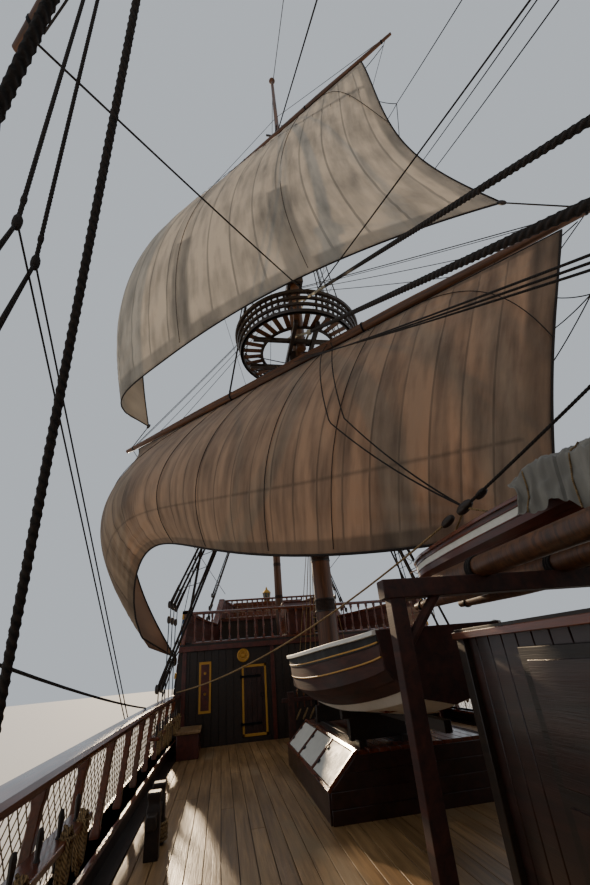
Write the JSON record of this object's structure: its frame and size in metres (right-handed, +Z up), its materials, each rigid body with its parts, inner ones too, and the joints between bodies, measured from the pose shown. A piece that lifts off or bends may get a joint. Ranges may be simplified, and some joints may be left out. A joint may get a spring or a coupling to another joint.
{
  "type": "tall ship",
  "caption": "Three-masted square-rigged wooden sailing ship with round basket tops, open waist, raised quarterdeck and forecastle, braced up with main course and main topsail set.",
  "frame": {"origin": "on the centreline at the waterline, amidships", "axes": "+X forward to the bowsprit end, +Y to port, +Z up"},
  "size_m": [38.9539, 11.5944, 31.821],
  "materials": {
    "tarred_timber": "tarred, matt",
    "varnished_rail": "varnished",
    "ochre_paint": "satin paint",
    "oiled_spar": "oiled",
    "tarred_rope": "tarred",
    "sail_canvas": "weathered canvas",
    "painted_panel": "painted",
    "galley_paint": "dark stain",
    "forged_iron": "black painted iron"
  },
  "bodies": {
    "ship": {"main_shrouds": "tarred_rope", "main_top": "oiled_spar", "fore_top": "oiled_spar", "fore_shrouds": "tarred_rope", "beakhead": "ochre_paint", "mizzen_shrouds": "tarred_rope", "hull": "tarred_timber", "fore_stay": "tarred_rope", "jolly_boat": "varnished_rail", "long_boat": "varnished_rail", "aft_bulwarks": "varnished_rail", "gallows_and_spars": "oiled_spar", "forecastle_rail": "varnished_rail", "main_topmast": "oiled_spar", "fore_topmast": "oiled_spar", "main_topmast_shrouds": "tarred_rope", "fore_topmast_shrouds": "tarred_rope", "anchor_port": "forged_iron", "anchor_starboard": "forged_iron", "waist_rail_port": "varnished_rail", "waist_rail_starboard": "varnished_rail", "main_lower_mast": "oiled_spar", "fore_lower_mast": "oiled_spar", "main_stay": "tarred_rope", "main_preventer_stay": "tarred_rope", "forecastle_break_rail": "varnished_rail", "bowsprit": "oiled_spar", "quarterdeck_rail": "varnished_rail", "poop_rail": "varnished_rail", "mizzen_mast": "oiled_spar", "aftercastle": "tarred_timber", "forecastle": "tarred_timber", "boat_chocks": "tarred_timber", "bitts_starboard": "tarred_timber", "bitts_port": "tarred_timber", "capstan_base": "tarred_timber", "poop": "tarred_timber", "galley": "galley_paint", "skylight": "painted_panel", "companion_hood": "varnished_rail"},
    "main_yards": {"main_yard": "oiled_spar", "main_course": "sail_canvas"},
    "main_topsail_yards": {"main_topsail_yard": "oiled_spar", "main_topsail": "sail_canvas"},
    "fore_yards": {"fore_yard": "oiled_spar", "fore_course": "sail_canvas"},
    "fore_topsail_yards": {"fore_topsail_yard": "oiled_spar", "fore_topsail": "sail_canvas"},
    "lateen": {"mizzen_yard": "oiled_spar", "mizzen_sail": "sail_canvas"},
    "spritsail_yards": {"spritsail_yard": "oiled_spar", "spritsail": "sail_canvas"},
    "rudder_blade": {"rudder": "tarred_timber"},
    "capstan_drum": {"capstan": "tarred_timber"},
    "port_door": {"door_port": "ochre_paint"},
    "starboard_door": {"door_starboard": "ochre_paint"}
  },
  "joints": [
    {"name": "main_brace", "type": "hinge", "parent": "ship", "child": "main_yards", "pos_m": [-1.2, 0, 10.8], "axis": [0, 0, 1], "range_deg": [0, 90]},
    {"name": "main_topsail_brace", "type": "hinge", "parent": "ship", "child": "main_topsail_yards", "pos_m": [-0.77, 0, 22.8], "axis": [0, 0, 1], "range_deg": [0, 90]},
    {"name": "fore_brace", "type": "hinge", "parent": "ship", "child": "fore_yards", "pos_m": [10.5, 0, 10.1], "axis": [0, 0, 1], "range_deg": [0, 90]},
    {"name": "fore_topsail_brace", "type": "hinge", "parent": "ship", "child": "fore_topsail_yards", "pos_m": [10.93, 0, 18.96], "axis": [0, 0, 1], "range_deg": [0, 90]},
    {"name": "mizzen_brace", "type": "hinge", "parent": "ship", "child": "lateen", "pos_m": [-9.5, 0, 10.4], "axis": [0, 0, 1], "range_deg": [-8, 25]},
    {"name": "spritsail_brace", "type": "hinge", "parent": "ship", "child": "spritsail_yards", "pos_m": [20.3, 0, 6.8518], "axis": [0, 0, 1], "range_deg": [-35, 35]},
    {"name": "port_door_hinge", "type": "hinge", "parent": "ship", "child": "port_door", "pos_m": [-3.266, 1.894, 1.428], "axis": [0, 0, 1], "range_deg": [0, 105]},
    {"name": "starboard_door_hinge", "type": "hinge", "parent": "ship", "child": "starboard_door", "pos_m": [-3.266, -1.894, 1.428], "axis": [0, 0, 1], "range_deg": [-105, 0]},
    {"name": "rudder_hinge", "type": "hinge", "parent": "ship", "child": "rudder_blade", "pos_m": [-12.79121, 0, -3.15], "axis": [-0.2092, 0, 0.9779], "range_deg": [-30, 30]},
    {"name": "capstan_turn", "type": "hinge", "parent": "ship", "child": "capstan_drum", "pos_m": [-2.3, 0, 1.32], "axis": [0, 0, 1], "continuous": true}
  ],
  "couplings": [
    {"joint": "main_topsail_brace", "follows": "main_brace", "ratio": 1},
    {"joint": "fore_topsail_brace", "follows": "fore_brace", "ratio": 1}
  ]
}
